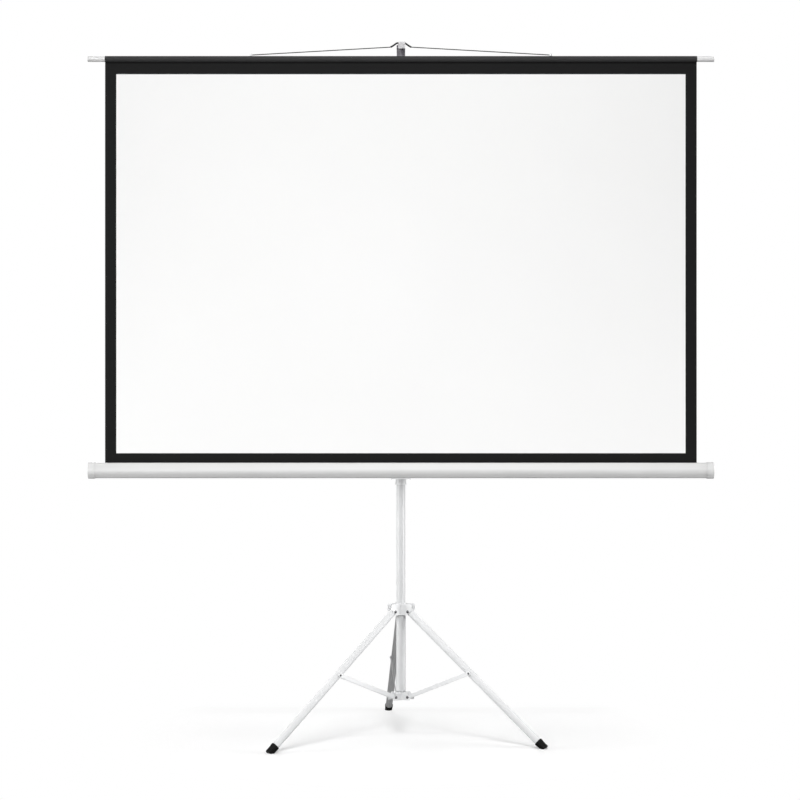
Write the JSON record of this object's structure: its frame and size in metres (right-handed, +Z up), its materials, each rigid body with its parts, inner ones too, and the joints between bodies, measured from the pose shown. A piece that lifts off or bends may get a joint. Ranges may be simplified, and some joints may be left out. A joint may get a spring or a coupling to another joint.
{
  "type": "tripod projection screen",
  "caption": "Free-standing roll-up projection screen: spring roller in a tubular case on a folding tripod with a telescopic pole, hook and hanger holding the top bar.",
  "frame": {"origin": "On the floor, under the middle of the overall box of the open screen.", "axes": "+Z up, +X along the case to the right as the viewer sees it, the image faces -Y and the rear leg points about +Y."},
  "size_m": [1.925, 0.765, 2.1458],
  "materials": {
    "grey_paint": "satin",
    "case_paint": "satin",
    "bright_steel": "satin",
    "black_rubber": "matte",
    "black_plastic": "matte",
    "black_fabric": "matte",
    "screen_fabric": "matte"
  },
  "bodies": {
    "lower_slide": {"lower_hub": "grey_paint", "guide_rod": "bright_steel", "brace_rivet_rear_a": "bright_steel", "brace_rivet_rear_b": "bright_steel", "brace_rivet_left_a": "bright_steel", "brace_rivet_left_b": "bright_steel", "brace_rivet_right_a": "bright_steel", "brace_rivet_right_b": "bright_steel"},
    "mast": {"mast_tube": "grey_paint", "mast_end_bush": "black_plastic", "mast_sleeve": "grey_paint", "upper_hub": "grey_paint", "leg_pin_rear": "bright_steel", "leg_pin_left": "bright_steel", "leg_pin_right": "bright_steel", "pole_lock_collar": "black_plastic"},
    "leg_rear": {"leg_rear": "grey_paint", "foot_rear": "black_rubber"},
    "brace_rear": {"brace_rear_a": "grey_paint", "brace_rear_b": "grey_paint"},
    "leg_left": {"leg_left": "grey_paint", "foot_left": "black_rubber"},
    "brace_left": {"brace_left_a": "grey_paint", "brace_left_b": "grey_paint"},
    "leg_right": {"leg_right": "grey_paint", "foot_right": "black_rubber"},
    "brace_right": {"brace_right_a": "grey_paint", "brace_right_b": "grey_paint"},
    "pole": {"extension_pole": "bright_steel", "pole_guide_bush": "black_plastic", "hook_bracket": "grey_paint"},
    "pole_knob": {"pole_lock_knob": "black_plastic"},
    "carriage": {"carriage": "grey_paint", "case_pivot_bolt": "bright_steel"},
    "carriage_knob": {"carriage_lock_knob": "black_plastic"},
    "case": {"case_saddle": "grey_paint", "case_tube": "case_paint", "case_cap_left": "case_paint", "case_cap_right": "case_paint", "gudgeon_pin": "bright_steel", "spring_arbor": "bright_steel", "roller_spring": "bright_steel", "screen_cloth": "screen_fabric"},
    "roller": {"roller_tube": "bright_steel", "cloth_roll": "black_fabric", "roller_plug_left": "black_plastic", "roller_plug_right": "black_plastic"},
    "bar": {"top_bar": "grey_paint", "bar_cap_left": "grey_paint", "bar_cap_right": "grey_paint", "cloth_hem": "black_fabric", "hanger_eye_left": "bright_steel", "hanger_eye_right": "bright_steel", "hanger_wire": "bright_steel", "hanger_sleeve": "black_plastic"}
  },
  "joints": [
    {"name": "fold_slide", "type": "slide", "parent": "lower_slide", "child": "mast", "axis": [0, 0, 1], "range_m": [0, 0.22752]},
    {"name": "leg_rear_fold", "type": "hinge", "parent": "mast", "child": "leg_rear", "pos_m": [-0.00253, -0.07008, 0.388], "axis": [-0.9962, -0.0872, 0], "range_deg": [0, 49.01]},
    {"name": "brace_rear_fold", "type": "hinge", "parent": "lower_slide", "child": "brace_rear", "pos_m": [-0.00253, -0.07008, 0.1245], "axis": [0.9962, 0.0872, 0], "range_deg": [0, 66.99]},
    {"name": "leg_left_fold", "type": "hinge", "parent": "mast", "child": "leg_left", "pos_m": [-0.02376, -0.1156, 0.388], "axis": [0.5736, -0.8192, 0], "range_deg": [0, 49.01]},
    {"name": "brace_left_fold", "type": "hinge", "parent": "lower_slide", "child": "brace_left", "pos_m": [-0.02376, -0.1156, 0.1245], "axis": [-0.5736, 0.8192, 0], "range_deg": [0, 66.99]},
    {"name": "leg_right_fold", "type": "hinge", "parent": "mast", "child": "leg_right", "pos_m": [0.02628, -0.11123, 0.388], "axis": [0.4226, 0.9063, 0], "range_deg": [0, 49.01]},
    {"name": "brace_right_fold", "type": "hinge", "parent": "lower_slide", "child": "brace_right", "pos_m": [0.02628, -0.11123, 0.1245], "axis": [-0.4226, -0.9063, 0], "range_deg": [0, 66.99]},
    {"name": "pole_slide", "type": "slide", "parent": "mast", "child": "pole", "axis": [0, 0, -1], "range_m": [0, 0.9206]},
    {"name": "carriage_slide", "type": "slide", "parent": "mast", "child": "carriage", "axis": [0, 0, 1], "range_m": [0, 0.3076]},
    {"name": "case_pivot", "type": "hinge", "parent": "carriage", "child": "case", "pos_m": [0, -0.135, 0.826], "axis": [0, 1, 0], "range_deg": [0, 68]},
    {"name": "bar_slide", "type": "slide", "parent": "case", "child": "bar", "axis": [0, 0, -1], "range_m": [0, 1.2282], "deforming": ["screen_cloth"]},
    {"name": "roller_spin", "type": "hinge", "parent": "case", "child": "roller", "pos_m": [0, -0.15967, 0.826], "axis": [1, 0, 0], "continuous": true},
    {"name": "pole_lock_turn", "type": "hinge", "parent": "mast", "child": "pole_knob", "pos_m": [0, -0.075, 1.1739], "axis": [0, 1, 0], "range_deg": [0, 270]},
    {"name": "carriage_lock_turn", "type": "hinge", "parent": "carriage", "child": "carriage_knob", "pos_m": [0, -0.075, 0.802], "axis": [0, 1, 0], "range_deg": [0, 270]}
  ],
  "couplings": [
    {"joint": "leg_rear_fold", "follows": "fold_slide", "rad_per_m": 3.7588},
    {"joint": "brace_rear_fold", "follows": "fold_slide", "rad_per_m": 5.1383},
    {"joint": "leg_left_fold", "follows": "fold_slide", "rad_per_m": 3.7588},
    {"joint": "brace_left_fold", "follows": "fold_slide", "rad_per_m": 5.1383},
    {"joint": "leg_right_fold", "follows": "fold_slide", "rad_per_m": 3.7588},
    {"joint": "brace_right_fold", "follows": "fold_slide", "rad_per_m": 5.1383},
    {"joint": "carriage_slide", "follows": "pole_slide", "ratio": 0.33402},
    {"joint": "bar_slide", "follows": "pole_slide", "ratio": 1.334},
    {"joint": "roller_spin", "follows": "pole_slide", "rad_per_m": -84}
  ]
}
